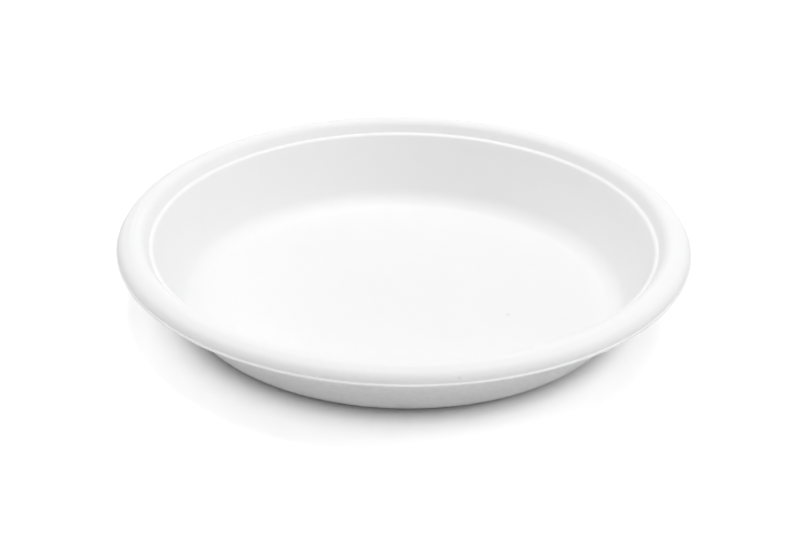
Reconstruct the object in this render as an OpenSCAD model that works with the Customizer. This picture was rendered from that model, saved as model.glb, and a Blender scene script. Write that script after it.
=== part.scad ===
// Round deep plate pressed from wet fibre: one sheet of even thickness that runs
// from the flat floor up a leaning wall, over a stacking ledge and a rolled rim,
// and ends in a narrow trimmed flange. Millimetres, +Z up, origin on the table
// at the centre of the floor's underside.

/* [Plate] */
// Diameter over the trimmed edge of the flange
plate_d = 230; // [170:1:300]
// Height from the table to the top of the rim
plate_h = 33; // [26:0.5:45]
// Thickness of the pressed sheet
sheet_t = 0.8; // [0.5:0.05:1.2]

/* [Well] */
// Lean of the wall from upright, in degrees
wall_lean = 25; // [15:0.5:35]
// Inside radius of the bend between the floor and the wall
floor_bend_r = 7; // [4:0.5:14]

/* [Stacking ledge] */
// Depth of the ledge below the top of the rim
ledge_drop = 4.7; // [4:0.1:7]
// Width of the ledge between the wall and the step above it
ledge_w = 1.5; // [1:0.1:3]
// Inside radius of the bend over the ledge's inner edge
ledge_bend_r = 0.7; // [0.4:0.1:1.4]
// Inside radius of the corner at the foot of the step
step_bend_r = 0.7; // [0.2:0.1:1.2]
// Lean of the step above the ledge from upright, in degrees
step_lean = 30; // [10:1:45]

/* [Rim] */
// Width of the rolled rim between the corners with its two sides
rim_w = 8.3; // [6.5:0.1:12]
// Rise of the rim's dome from its inner corner to its crest, in degrees
rim_inner_slope = 1; // [0:1:10]
// Fall of the rim's dome from its crest to its outer corner, in degrees
rim_outer_slope = 19; // [6:1:24]
// Inside radius of the bend from the step to the dome
rim_inner_bend_r = 3; // [0.8:0.1:4.5]
// Inside radius of the bend across the middle of the dome
rim_dome_r = 2; // [1:0.5:9]
// Inside radius of the bend from the dome to the outer side
rim_outer_bend_r = 3.4; // [1:0.1:4.5]
// Lean of the rim's outer side from upright, in degrees
rim_side_lean = 13; // [4:1:25]

/* [Flange] */
// Depth of the flange below the top of the rim
flange_drop = 4.6; // [3.8:0.1:7]
// Width of the flange, from the rim's outer side to the trimmed edge
flange_w = 1.1; // [0.8:0.1:3]
// Inside radius of the corner between the rim and the flange
flange_bend_r = 0.2; // [0.2:0.1:0.8]

/* [Hidden] */
$fn = 180;
// Largest turn of the sheet between two points of a bend, in degrees
BEND_STEP = 5;
PAPER_WHITE = [0.93, 0.93, 0.92];
// Height of each level of the sheet's middle surface
floor_z = sheet_t / 2;
top_z = plate_h - sheet_t / 2;
ledge_z = plate_h - ledge_drop - sheet_t / 2;
flange_z = plate_h - flange_drop - sheet_t / 2;
// The bend over the crest takes at most a quarter of each side of the dome
crest_half_turn = (rim_inner_slope + rim_outer_slope) / 2;
crest_r = min(rim_dome_r + sheet_t / 2, rim_w / 8 / tan(crest_half_turn));
// That bend cuts the crest's corner, which stands this much above the top
crest_z = top_z + crest_r * (tan(crest_half_turn) * sin(rim_inner_slope) + cos(rim_inner_slope) - 1);
rim_in_z = crest_z - rim_w / 2 * tan(rim_inner_slope);
rim_out_z = crest_z - rim_w / 2 * tan(rim_outer_slope);
// Radius of each corner of the sheet's middle surface, worked inwards from the trim
trim_r = plate_d / 2;
flange_corner_r = trim_r - flange_w;
rim_out_r = flange_corner_r - (rim_out_z - flange_z) * tan(rim_side_lean);
rim_in_r = rim_out_r - rim_w;
step_foot_r = rim_in_r - (rim_in_z - ledge_z) * tan(step_lean);
ledge_in_r = step_foot_r - ledge_w;
floor_corner_r = ledge_in_r - (ledge_z - floor_z) * tan(wall_lean);
// Corners of the middle surface from the centre outwards: [radius, height, inside
// bend radius, share of the run before and of the run after that the bend may take]
CORNERS = [
    [0, floor_z, 0, 0, 0],
    [floor_corner_r, floor_z, floor_bend_r, 0.5, 0.5],
    [ledge_in_r, ledge_z, ledge_bend_r, 0.5, 0.5],
    [step_foot_r, ledge_z, step_bend_r, 0.5, 0.25],
    [rim_in_r, rim_in_z, rim_inner_bend_r, 0.75, 0.75],
    [rim_in_r + rim_w / 2, crest_z, crest_r - sheet_t / 2, 0.25, 0.25],
    [rim_out_r, rim_out_z, rim_outer_bend_r, 0.75, 0.75],
    [flange_corner_r, flange_z, flange_bend_r, 0.25, 0.9],
    [trim_r, flange_z, 0, 0, 0],
];
LAST = len(CORNERS) - 1;

// Corner i as a point of the section
function point(i) = [CORNERS[i][0], CORNERS[i][1]];
// Unit direction from corner i to the next one
function run_dir(i) = let (d = point(i + 1) - point(i)) d / norm(d);
// A direction turned a quarter turn to the left
function left(d) = [-d[1], d[0]];
// Turn of the sheet at corner i in degrees, positive to the left
function turn(i) = let (a = run_dir(i - 1), b = run_dir(i)) atan2(a[0] * b[1] - a[1] * b[0], a * b);
// Most that the bend at corner i may take of the straight runs beside it
function room(i) =
    min(norm(point(i) - point(i - 1)) * CORNERS[i][3], norm(point(i + 1) - point(i)) * CORNERS[i][4]);
// Radius of the bend at corner i on the middle surface
function mid_r(i) = min(CORNERS[i][2] + sheet_t / 2, room(i) / tan(abs(turn(i)) / 2));
// Length of each straight run that the bend at corner i takes up
function set_back(i) = mid_r(i) * tan(abs(turn(i)) / 2);
// Centre of the bend at corner i
function bend_centre(i) =
    point(i) - run_dir(i - 1) * set_back(i) + left(run_dir(i - 1)) * sign(turn(i)) * mid_r(i);

// Points round the bend at corner i on one side of the sheet: 1 is the upper side, -1 the under side
function bend_points(i, side) =
    let (
        r = mid_r(i) - sign(turn(i)) * side * sheet_t / 2,
        start = -left(run_dir(i - 1)) * sign(turn(i)),
        steps = ceil(abs(turn(i)) / BEND_STEP)
    )
    [for (k = [0 : steps]) let (a = turn(i) * k / steps)
        bend_centre(i) + r * (start * cos(a) + left(start) * sin(a))];
// Point of the sheet's free end or centre line on one side
function end_point(i, side) = point(i) + [0, side * sheet_t / 2];
// One side of the sheet, from the centre out to the trim
function sheet_side(side) = [
    end_point(0, side),
    for (i = [1 : LAST - 1]) each bend_points(i, side),
    end_point(LAST, side),
];
function reversed(list) = [for (i = [len(list) - 1 : -1 : 0]) list[i]];

// Section of the whole sheet from the centre to the trim
module sheet_section() {
    polygon(concat(sheet_side(-1), reversed(sheet_side(1))));
}

// The plate: the section turned about the upright axis
module plate() {
    color(PAPER_WHITE) rotate_extrude() sheet_section();
}

plate();
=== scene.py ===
import math

import bpy
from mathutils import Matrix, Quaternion, Vector


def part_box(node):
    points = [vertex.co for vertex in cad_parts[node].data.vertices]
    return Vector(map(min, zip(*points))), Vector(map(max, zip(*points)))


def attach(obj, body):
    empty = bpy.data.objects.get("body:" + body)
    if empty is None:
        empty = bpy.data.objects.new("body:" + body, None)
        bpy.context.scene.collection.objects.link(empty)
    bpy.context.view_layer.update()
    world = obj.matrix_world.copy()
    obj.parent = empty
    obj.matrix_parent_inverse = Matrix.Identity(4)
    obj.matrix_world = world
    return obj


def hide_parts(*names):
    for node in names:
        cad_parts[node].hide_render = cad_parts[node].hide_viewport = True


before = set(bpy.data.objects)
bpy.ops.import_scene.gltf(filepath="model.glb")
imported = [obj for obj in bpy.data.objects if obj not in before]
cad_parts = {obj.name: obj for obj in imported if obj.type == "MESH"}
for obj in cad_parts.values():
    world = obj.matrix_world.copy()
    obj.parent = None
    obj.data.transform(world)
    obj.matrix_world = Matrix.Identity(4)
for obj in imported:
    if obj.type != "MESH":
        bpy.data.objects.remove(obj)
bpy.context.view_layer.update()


# The view: a long lens looks down on the plate from in front, about 29 degrees
# above the table. The camera is turned a little off the plate, so that the
# middle of the plate's underside falls on a chosen point of the picture.
IMAGE_WIDTH, IMAGE_HEIGHT = 800, 552
SENSOR_MM = 36.0
LENS_MM = 85.0
CLIP_START, CLIP_END = 0.01, 20.0
VIEW_HEIGHT = math.radians(28.96)
VIEW_DISTANCE = 0.7745
VIEW_ROLL = math.radians(-1.0)
# That chosen point, in pixels from the picture's top left corner
BASE_PIXEL = (402.9, 297.15)

scene = bpy.context.scene
scene.view_settings.view_transform = "Standard"
lens = bpy.data.cameras.new("view_camera")
lens.sensor_width = SENSOR_MM
lens.lens = LENS_MM
lens.clip_start, lens.clip_end = CLIP_START, CLIP_END
camera = bpy.data.objects.new("view_camera", lens)
scene.collection.objects.link(camera)
scene.camera = camera

focal_pixels = LENS_MM / SENSOR_MM * IMAGE_WIDTH
away = Vector((0.0, -math.cos(VIEW_HEIGHT), math.sin(VIEW_HEIGHT)))
off_centre = Vector((
    (BASE_PIXEL[0] - IMAGE_WIDTH / 2) / focal_pixels,
    (IMAGE_HEIGHT / 2 - BASE_PIXEL[1]) / focal_pixels,
    -1.0,
))
aim = (-away).to_track_quat("-Z", "Y")
roll = Quaternion((0.0, 0.0, 1.0), -VIEW_ROLL)
camera.location = away * VIEW_DISTANCE
camera.rotation_mode = "QUATERNION"
camera.rotation_quaternion = aim @ roll @ off_centre.rotation_difference(Vector((0.0, 0.0, -1.0)))


# The plate: one sheet of wet fibre, sucked onto a wire screen and pressed hot
# between two moulds, then trimmed round the edge. The sheet runs from the flat
# floor up the wall, over a stacking ledge and a rolled rim, to a narrow flange.
MM = 0.001
low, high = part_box("plate")
PLATE_SIZES = {
    "Trim radius": (high[0] - low[0]) / 2,
    "Height": high[2],
    "Sheet thickness": 0.8 * MM,
    "Floor bend radius": 8.6 * MM,
    "Ledge drop": 4.8 * MM,
    "Ledge width": 1.6 * MM,
    "Ledge bend radius": 0.65 * MM,
    "Step bend radius": 0.75 * MM,
    "Rim width": 8.35 * MM,
    "Rim inner bend radius": 3.4 * MM,
    "Rim dome radius": 3.0 * MM,
    "Rim outer bend radius": 3.6 * MM,
    "Flange drop": 4.5 * MM,
    "Flange width": 0.95 * MM,
    "Flange bend radius": 0.2 * MM,
    "Trim rounding": 0.12 * MM,
    "Row length": 3.5 * MM,
}
PLATE_SLOPES = {
    "Wall lean": 24.4,
    "Step lean": 29.8,
    "Rim inner fall": 4.4,
    "Rim outer fall": 21.0,
    "Rim side lean": 11.1,
    "Flange fall": 19.0,
    "Rim tilt": 0.27,
}
PLATE_COUNTS = {"Turn steps": 420, "Bend steps": 9, "Trim rows": 3}
MERGE_DISTANCE = 0.002 * MM


class Wire:
    """One socket of a node tree. Arithmetic on it adds Math nodes to its tree."""

    def __init__(self, tree, socket=None):
        self.tree, self.socket = tree, socket

    def node(self, kind, settings=(), sockets=(), out=0):
        """A new node of any kind: its settings first, then the values or links of its sockets."""
        new = self.tree.nodes.new(kind)
        for name, value in dict(settings).items():
            setattr(new, name, value)
        for key, value in dict(sockets).items():
            if isinstance(value, Wire):
                self.tree.links.new(value.socket, new.inputs[key])
            else:
                new.inputs[key].default_value = value
        return Wire(self.tree, new.outputs[out] if out is not None else None)

    def out(self, name):
        """Another output of the same node."""
        return Wire(self.tree, self.socket.node.outputs[name])

    def maths(self, operation, *values):
        """A Math node on up to three values or sockets."""
        return self.node("ShaderNodeMath", {"operation": operation}, dict(enumerate(values)))

    def __add__(self, other): return self.maths("ADD", self, other)
    def __radd__(self, other): return self.maths("ADD", other, self)
    def __sub__(self, other): return self.maths("SUBTRACT", self, other)
    def __rsub__(self, other): return self.maths("SUBTRACT", other, self)
    def __mul__(self, other): return self.maths("MULTIPLY", self, other)
    def __rmul__(self, other): return self.maths("MULTIPLY", other, self)
    def __truediv__(self, other): return self.maths("DIVIDE", self, other)
    def __rtruediv__(self, other): return self.maths("DIVIDE", other, self)
    def __pow__(self, other): return self.maths("POWER", self, other)
    def __gt__(self, other): return self.maths("GREATER_THAN", self, other)
    def __lt__(self, other): return self.maths("LESS_THAN", self, other)
    def sin(self): return self.maths("SINE", self)
    def cos(self): return self.maths("COSINE", self)
    def tan(self): return self.maths("TANGENT", self)
    def sqrt(self): return self.maths("SQRT", self)
    def floor(self): return self.maths("FLOOR", self)
    def at_least(self, other): return self.maths("MAXIMUM", self, other)
    def at_most(self, other): return self.maths("MINIMUM", self, other)


plate_tree = bpy.data.node_groups.new("pressed_plate", "GeometryNodeTree")
plate_tree.interface.new_socket("Geometry", in_out="OUTPUT", socket_type="NodeSocketGeometry")
plate_inputs = {}
for name, value in {**PLATE_SIZES, **PLATE_SLOPES, **PLATE_COUNTS}.items():
    kind = "NodeSocketInt" if name in PLATE_COUNTS else "NodeSocketFloat"
    plate_inputs[name] = plate_tree.interface.new_socket(name, in_out="INPUT", socket_type=kind)
start = Wire(plate_tree)
given = start.node("NodeGroupInput")
size = {name: given.out(name) for name in plate_inputs}
slope = {name: given.out(name) * (math.pi / 180.0) for name in PLATE_SLOPES}
half_sheet = size["Sheet thickness"] / 2

# Levels and radii of the corners of the sheet's middle line, worked inwards from the trim
floor_z = half_sheet
top_z = size["Height"] - half_sheet
ledge_z = top_z - size["Ledge drop"]
flange_z = top_z - size["Flange drop"]
# The top of the plate is on the bend round the rim's inner corner, and the corner itself
# stands a little above it
step_rise = math.pi / 2 - slope["Step lean"]
top_cut = ((step_rise + slope["Rim inner fall"]) / 2).tan() * step_rise.sin() + step_rise.cos() - 1.0
rim_in_z = top_z + (size["Rim inner bend radius"] + half_sheet) * top_cut
half_rim = size["Rim width"] / 2
dome_z = rim_in_z - half_rim * slope["Rim inner fall"].tan()
rim_out_z = dome_z - half_rim * slope["Rim outer fall"].tan()
trim_r = size["Trim radius"]
flange_r = trim_r - size["Flange width"]
trim_z = flange_z - size["Flange width"] * slope["Flange fall"].tan()
rim_out_r = flange_r - (rim_out_z - flange_z) * slope["Rim side lean"].tan()
rim_in_r = rim_out_r - size["Rim width"]
step_r = rim_in_r - (rim_in_z - ledge_z) * slope["Step lean"].tan()
ledge_r = step_r - size["Ledge width"]
floor_r = ledge_r - (ledge_z - floor_z) * slope["Wall lean"].tan()
# Radius and level of each corner from the centre outwards, and the name of its bend
corners = (
    (0.0, floor_z, None),
    (floor_r, floor_z, "Floor bend radius"),
    (ledge_r, ledge_z, "Ledge bend radius"),
    (step_r, ledge_z, "Step bend radius"),
    (rim_in_r, rim_in_z, "Rim inner bend radius"),
    (rim_in_r + half_rim, dome_z, "Rim dome radius"),
    (rim_out_r, rim_out_z, "Rim outer bend radius"),
    (flange_r, flange_z, "Flange bend radius"),
    (trim_r, trim_z, None),
)


def pick_by_index(data_type, choices):
    """The choice whose number is the point's own index."""
    index = start.node("GeometryNodeInputIndex")
    new = plate_tree.nodes.new("GeometryNodeIndexSwitch")
    new.data_type = data_type
    while len(new.index_switch_items) < len(choices):
        new.index_switch_items.new()
    plate_tree.links.new(index.socket, new.inputs[0])
    for socket, choice in zip(new.inputs[1:], choices):
        if isinstance(choice, Wire):
            plate_tree.links.new(choice.socket, socket)
        else:
            socket.default_value = choice
    return Wire(plate_tree, new.outputs[0])


# The middle line of the sheet, from the centre of the floor to the trimmed edge
corner_places = [start.node("ShaderNodeCombineXYZ", {}, {0: r, 2: z}) for r, z, bend in corners]
corner_bends = [size[bend] + half_sheet if bend else 0.0 for r, z, bend in corners]
corner_line = start.node("GeometryNodeMeshLine", {}, {"Count": len(corners)})
corner_line = start.node("GeometryNodeSetPosition", {}, {
    "Geometry": corner_line, "Position": pick_by_index("VECTOR", corner_places)})
corner_line = start.node("GeometryNodeMeshToCurve", {}, {"Mesh": corner_line})
middle_line = start.node("GeometryNodeFilletCurve", {"mode": "POLY"}, {
    "Curve": corner_line, "Count": size["Bend steps"], "Radius": pick_by_index("FLOAT", corner_bends)})
position = start.node("GeometryNodeInputPosition")
index = start.node("GeometryNodeInputIndex")
next_position = start.node(
    "GeometryNodeFieldAtIndex", {"data_type": "FLOAT_VECTOR"}, {"Value": position, "Index": index + 1})
run = start.node("ShaderNodeVectorMath", {"operation": "DISTANCE"}, {0: position, 1: next_position}, "Value")
middle_line = start.node("GeometryNodeSubdivideCurve", {}, {
    "Curve": middle_line, "Cuts": (run / size["Row length"]).floor()})
line_points = start.node("GeometryNodeAttributeDomainSize", {"component": "CURVE"}, {"Geometry": middle_line})

# A grid whose rows go along the upper side, round the trimmed edge and back along the
# under side, and whose columns go round the plate
rows = line_points * 2 + size["Trim rows"]
skin = start.node("GeometryNodeMeshGrid", {}, {
    "Vertices X": size["Turn steps"] + 1, "Vertices Y": rows})
column = ((index + 0.5) / rows).floor()
row = index - column * rows
line_index = row.at_most(rows - 1 - row).at_most(line_points - 1)
# 1 on the upper side of the sheet, -1 on its under side, and between them round the trimmed edge
side = (((rows - 1) / 2 - row) / ((size["Trim rows"] + 1) / 2)).at_most(1.0).at_least(-1.0)
tangent = start.node("GeometryNodeInputTangent")
at_line = {"data_type": "FLOAT_VECTOR", "domain": "POINT", "clamp": True}
line_place = start.node("GeometryNodeSampleIndex", at_line, {
    "Geometry": middle_line, "Value": position, "Index": line_index})
line_tangent = start.node("GeometryNodeSampleIndex", at_line, {
    "Geometry": middle_line, "Value": tangent, "Index": line_index})
place = start.node("ShaderNodeSeparateXYZ", {}, {0: line_place})
along = start.node("ShaderNodeSeparateXYZ", {}, {0: line_tangent})
# The trimmed edge is rounded: its two corners are pulled in from the trim
at_trim = line_index > line_points - 1.5
pull = at_trim * size["Trim rounding"] * (1.0 - (1.0 - side * side).at_least(0.0).sqrt())
radius = place - along.out("Z") * side * half_sheet - pull
height = place.out("Z") + along * side * half_sheet
angle = column * (2 * math.pi) / size["Turn steps"]
# The rim stands a little out of level with the floor, higher on the +X side
raised = place.out("Z") / size["Height"]
height = height + raised * slope["Rim tilt"].tan() * radius * angle.cos()
turned = start.node("ShaderNodeCombineXYZ", {}, {
    0: radius * angle.cos(), 1: radius * angle.sin(), 2: height})
skin = start.node("GeometryNodeSetPosition", {}, {"Geometry": skin, "Position": turned})
skin = start.node("GeometryNodeStoreNamedAttribute", {"data_type": "FLOAT", "domain": "POINT"}, {
    "Geometry": skin, "Name": "pressed_side", "Value": side})
skin = start.node("GeometryNodeMergeByDistance", {}, {"Geometry": skin, "Distance": MERGE_DISTANCE})
skin = start.node("GeometryNodeSetShadeSmooth", {}, {"Geometry": skin})
skin = start.node("GeometryNodeRealizeInstances", {}, {"Geometry": skin})

fibre = bpy.data.materials.new("pressed_fibre")
skin = start.node("GeometryNodeSetMaterial", {}, {"Geometry": skin, "Material": fibre})
result = plate_tree.nodes.new("NodeGroupOutput")
plate_tree.links.new(skin.socket, result.inputs[0])

former = bpy.data.objects.new("plate_former", bpy.data.meshes.new("plate_former"))
scene.collection.objects.link(former)
forming = former.modifiers.new("pressing", "NODES")
forming.node_group = plate_tree
for name, value in {**PLATE_SIZES, **PLATE_SLOPES, **PLATE_COUNTS}.items():
    forming[plate_inputs[name].identifier] = value
depsgraph = bpy.context.evaluated_depsgraph_get()
plate_mesh = bpy.data.meshes.new_from_object(former.evaluated_get(depsgraph), depsgraph=depsgraph)
bpy.data.objects.remove(former)
plate = bpy.data.objects.new("pressed_plate", plate_mesh)
scene.collection.objects.link(plate)

# Matt plant fibre, almost white, that lets a little light through. The upper side was
# pressed smooth. The under side lay on the wire screen, keeps its fine mark and shows
# clumps of fibre.
FIBRE_COLOUR = (0.91, 0.91, 0.91, 1.0)
FIBRE_SHADE = (0.87, 0.87, 0.87, 1.0)
SPECK_COLOUR = (0.80, 0.80, 0.80, 1.0)
# How far the colour goes from FIBRE_COLOUR to FIBRE_SHADE everywhere, and on the under side
SHADE_SHARE = 0.2
UNDER_SHADE_SHARE = 0.25
# How far each pattern moves that share
CLOUD_SHADE = 0.15
CLUMP_SHADE = 2.0
FELT_SHADE = 0.5
FIBRE_ROUGHNESS = 0.75
FELT_ROUGHNESS = 0.04
FIBRE_SHINE = 0.3
SCATTER_LENGTH = 0.84 * MM
SCREEN_PITCH = 0.75 * MM
SCREEN_DEPTH = 0.008 * MM
# The wires round the wall are counted at this radius
SCREEN_RADIUS = 100.0 * MM
# Length up the leaning wall for each length of height
WALL_STRETCH = 1.12
# The under side of the floor is below this height
UNDER_FLOOR_TOP = 0.5 * MM
CLUMP_DEPTH = 0.12 * MM
UNDER_FELT_DEPTH = 0.012 * MM
UPPER_FELT_DEPTH = 0.0012 * MM
HAMMER_DEPTH = 0.004 * MM
# Small marks: the place of each and its radius, in millimetres
FLOOR_FLECK = (42.4, -14.5, 0.8, 1.4)
RIM_FLECK = (20.3, -112.0, 30.0, 1.0)
FLOOR_PIMPLE = (-77.7, -20.0, 0.8, 1.6)
LEDGE_DIMPLE = (-98.1, -28.5, 28.3, 1.3)
PIMPLE_HEIGHT = 0.15 * MM
DIMPLE_DEPTH = 0.08 * MM
fibre.use_nodes = True
grain = Wire(fibre.node_tree)
spot = grain.node("ShaderNodeTexCoord", out="Object")
spot_xyz = grain.node("ShaderNodeSeparateXYZ", {}, {0: spot})
spot_y, spot_z = spot_xyz.out("Y"), spot_xyz.out("Z")
under_side = grain.node("ShaderNodeAttribute", {"attribute_name": "pressed_side"}, {}, "Fac") < 0.0


def mottle(scale, detail, roughness=0.5, place=spot):
    """Soft noise from -1 to 1, with about as many blotches to the metre as its scale says."""
    noise = grain.node("ShaderNodeTexNoise", {}, {
        "Vector": place, "Scale": scale, "Detail": detail, "Roughness": roughness})
    return noise * 2.0 - 1.0


def blemish(x, y, z, radius):
    """1 at a place on the skin, given in millimetres, falling to 0 at the radius round it."""
    away_from = grain.node("ShaderNodeVectorMath", {"operation": "DISTANCE"}, {
        0: spot, 1: (x * MM, y * MM, z * MM)}, "Value")
    near = (1.0 - (away_from / (radius * MM)) ** 2.0).at_least(0.0)
    return near * near


# Clouds of tone, the grain of the fibre and the faint waves of the pressed side
cloud = mottle(scale=90.0, detail=3.0)
felt = mottle(scale=1600.0, detail=2.0)
hammer = mottle(scale=240.0, detail=1.0)
# The clumps are wider than they are high
flattened = grain.node("ShaderNodeVectorMath", {"operation": "MULTIPLY"}, {0: spot, 1: (1.0, 1.0, 2.0)})
clumps = mottle(scale=380.0, detail=3.0, roughness=0.6, place=flattened)

# The wires of the screen run round and up the wall, and straight across under the floor
across = 2 * math.pi / SCREEN_PITCH
round_plate = grain.maths("ARCTAN2", spot_y, spot_xyz) * round(across * SCREEN_RADIUS)
up_wall = spot_z * (across * WALL_STRETCH)
on_wall = round_plate.sin() * up_wall.sin()
on_floor = (spot_xyz * across).sin() * (spot_y * across).sin()
below_wall = spot_z < UNDER_FLOOR_TOP
wires = below_wall * on_floor + (1.0 - below_wall) * on_wall
under_relief = wires * SCREEN_DEPTH + felt * UNDER_FELT_DEPTH + clumps * CLUMP_DEPTH
upper_relief = hammer * HAMMER_DEPTH + felt * UPPER_FELT_DEPTH
relief = under_side * under_relief + (1.0 - under_side) * upper_relief

# Grey flecks in the floor and on the front of the rim, a pimple beside the floor's bend
# and a dimple on the ledge
fleck = blemish(*FLOOR_FLECK).at_least(blemish(*RIM_FLECK))
relief = relief + blemish(*FLOOR_PIMPLE) * PIMPLE_HEIGHT - blemish(*LEDGE_DIMPLE) * DIMPLE_DEPTH

skin_shader = fibre.node_tree.nodes["Principled BSDF"]
under_shade = clumps * CLUMP_SHADE + felt * FELT_SHADE + UNDER_SHADE_SHARE
shade = cloud * CLOUD_SHADE + SHADE_SHARE + under_side * under_shade
shaded = grain.node("ShaderNodeMix", {"data_type": "RGBA"}, {
    "Factor": shade, "A": FIBRE_COLOUR, "B": FIBRE_SHADE}, "Result")
flecked = grain.node("ShaderNodeMix", {"data_type": "RGBA"}, {
    "Factor": fleck, "A": shaded, "B": SPECK_COLOUR}, "Result")
roughness = FIBRE_ROUGHNESS + felt * FELT_ROUGHNESS
bump = grain.node("ShaderNodeBump", {}, {"Strength": 1.0, "Distance": 1.0, "Height": relief})
for name, wire in {"Base Color": flecked, "Roughness": roughness, "Normal": bump}.items():
    fibre.node_tree.links.new(wire.socket, skin_shader.inputs[name])
skin_shader.inputs["Specular IOR Level"].default_value = FIBRE_SHINE
skin_shader.inputs["Subsurface Weight"].default_value = 1.0
skin_shader.inputs["Subsurface Radius"].default_value = (1.0, 1.0, 1.0)
skin_shader.inputs["Subsurface Scale"].default_value = SCATTER_LENGTH

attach(plate, "root")
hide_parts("plate")


# The table and the studio round it: a white sheet under soft lamps on all sides. To
# the camera the sheet is overexposed, so that only the plate's shadow stays on it; round
# the plate's foot its seen white is painted darker, painted shade that deepens that shadow.
TABLE_HALF = 3.0
# The sheet lies a hair below the plate, so that no two faces share a plane
TABLE_Z = -0.00003
# The sheet's own white, which lights the plate, and what the camera sees of it: a darker
# white at the plate's foot, which is painted shade, and the full white from the shadow outwards
SHEET_WHITE = (0.90, 0.90, 0.90, 1.0)
FOOT_PAINTED_SHADE_WHITE = (1.15, 1.15, 1.15, 1.0)
OUTER_WHITE = (1.70, 1.70, 1.70, 1.0)
# The painted shade is deepest at the first radius and has faded out at the second
FOOT_RADIUS = 86.0 * MM
PAINTED_SHADE_END_RADIUS = 98.0 * MM


def looked_at(tree):
    """1 for what the camera sees, also in a reflection or through glass, and 0 for light on the plate."""
    rays = tree.node("ShaderNodeLightPath")
    return rays.at_least(rays.out("Is Glossy Ray")).at_least(rays.out("Is Transmission Ray"))


table_mesh = bpy.data.meshes.new("table")
table_corners = [(x * TABLE_HALF, y * TABLE_HALF, TABLE_Z) for x, y in ((-1, -1), (1, -1), (1, 1), (-1, 1))]
table_mesh.from_pydata(table_corners, [], [(0, 1, 2, 3)])
table = bpy.data.objects.new("table", table_mesh)
scene.collection.objects.link(table)
table_paint = bpy.data.materials.new("table_white")
table_paint.use_nodes = True
table_paint.node_tree.nodes.clear()
paint = Wire(table_paint.node_tree)
table_seen = looked_at(paint)
lit_sheet, painted_shade_sheet, outer_sheet = [
    paint.node("ShaderNodeBsdfDiffuse", {}, {"Color": white}) for white in (SHEET_WHITE, FOOT_PAINTED_SHADE_WHITE, OUTER_WHITE)]
table_xyz = paint.node("ShaderNodeSeparateXYZ", {}, {0: paint.node("ShaderNodeTexCoord", out="Object")})
from_axis = (table_xyz * table_xyz + table_xyz.out("Y") ** 2.0).sqrt()
# Painted shade: the seen white darkens from the shadow's edge inwards to the plate's foot
out_of_painted_shade = paint.node("ShaderNodeMapRange", {"interpolation_type": "SMOOTHSTEP"}, {
    0: from_axis, "From Min": FOOT_RADIUS, "From Max": PAINTED_SHADE_END_RADIUS})
seen_white_with_painted_shade = paint.node("ShaderNodeMixShader", {}, {0: out_of_painted_shade, 1: painted_shade_sheet, 2: outer_sheet})
sheet_look = paint.node("ShaderNodeMixShader", {}, {0: table_seen, 1: lit_sheet, 2: seen_white_with_painted_shade})
paint.node("ShaderNodeOutputMaterial", {}, {"Surface": sheet_look}, None)
table_mesh.materials.append(table_paint)

# Soft round lamps, each given by its direction in degrees round the plate and above
# the table, and its power in watts
LAMP_DISTANCE = 2.5
LAMP_WIDTH = 1.3
LAMPS = (
    (45, 65, 10.0),
    (90, 80, 19.7),
    (0, 35, 9.3),
    (0, 15, 3.7),
    (135, 35, 6.8),
    (180, 50, 3.8),
    (225, 50, 7.3),
    (270, 50, 5.7),
    (315, 50, 3.6),
)
for around, above, power in LAMPS:
    around, above = math.radians(around), math.radians(above)
    shine = bpy.data.lights.new("soft_lamp", "AREA")
    shine.shape = "DISK"
    shine.size = LAMP_WIDTH
    shine.energy = power
    lamp = bpy.data.objects.new("soft_lamp", shine)
    scene.collection.objects.link(lamp)
    lamp.location = LAMP_DISTANCE * Vector((
        math.cos(above) * math.cos(around), math.cos(above) * math.sin(around), math.sin(above)))
    lamp.rotation_mode = "QUATERNION"
    lamp.rotation_quaternion = lamp.location.to_track_quat("Z", "Y")

# The walls of the studio give a little light and look white
WALL_LIGHT = 0.21
WALL_SEEN = 1.0
world = bpy.data.worlds.new("studio")
scene.world = world
world.use_nodes = True
world.node_tree.nodes.clear()
wall = Wire(world.node_tree)
dim_wall = wall.node("ShaderNodeBackground", {}, {"Strength": WALL_LIGHT})
seen_wall = wall.node("ShaderNodeBackground", {}, {"Strength": WALL_SEEN})
wall_look = wall.node("ShaderNodeMixShader", {}, {0: looked_at(wall), 1: dim_wall, 2: seen_wall})
wall.node("ShaderNodeOutputWorld", {}, {"Surface": wall_look}, None)
